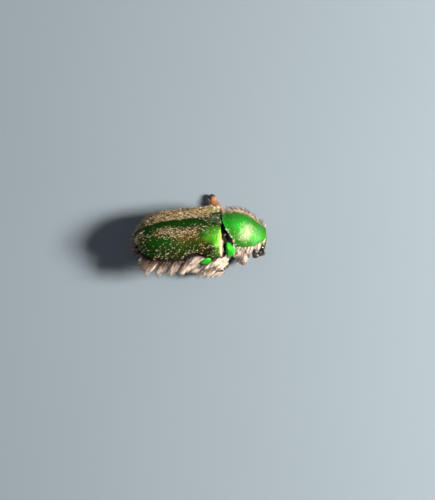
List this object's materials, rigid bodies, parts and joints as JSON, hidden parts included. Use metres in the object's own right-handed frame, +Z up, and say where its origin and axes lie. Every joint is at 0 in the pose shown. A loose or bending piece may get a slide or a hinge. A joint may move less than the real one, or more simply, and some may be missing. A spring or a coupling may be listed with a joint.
{
  "type": "flower chafer beetle",
  "caption": "Life-size model of a hairy green flower chafer resting on its folded legs, leaning to its left, wing cases closed and head bent down.",
  "frame": {"origin": "under the middle of the model's box, on the surface that it rests on", "axes": "+X towards the head, +Y to the beetle's left, +Z up"},
  "size_m": [0.0166, 0.0104, 0.0076],
  "materials": {
    "bright_shell": "bright green shell with a metallic gloss and fine pits",
    "wing_case": "dark green shell, coppery in the middle, with rows of golden hair",
    "hairy_trunk": "dark shell under a dense coat of tan hair",
    "leg_brown": "orange-brown shell with a fringe of pale hair",
    "foot_brown": "dark brown shell",
    "eye_black": "shiny black, finely faceted"
  },
  "bodies": {
    "root": {"pronotum": "bright_shell", "scutellum": "wing_case", "elytron_left": "wing_case", "elytron_right": "wing_case", "eye_left": "eye_black", "eye_right": "eye_black", "antenna_left": "foot_brown", "antenna_right": "foot_brown", "thorax": "hairy_trunk", "abdomen": "hairy_trunk", "pygidium": "hairy_trunk", "head": "bright_shell", "femur_fore_left": "leg_brown", "tibia_fore_left": "leg_brown", "tarsus_fore_left": "foot_brown", "femur_fore_right": "leg_brown", "tibia_fore_right": "leg_brown", "tarsus_fore_right": "foot_brown", "femur_mid_left": "leg_brown", "tibia_mid_left": "leg_brown", "tarsus_mid_left": "foot_brown", "femur_mid_right": "leg_brown", "tibia_mid_right": "leg_brown", "tarsus_mid_right": "foot_brown", "femur_hind_left": "leg_brown", "tibia_hind_left": "leg_brown", "tarsus_hind_left": "foot_brown", "femur_hind_right": "leg_brown", "tibia_hind_right": "leg_brown", "tarsus_hind_right": "foot_brown"}
  },
  "joints": []
}
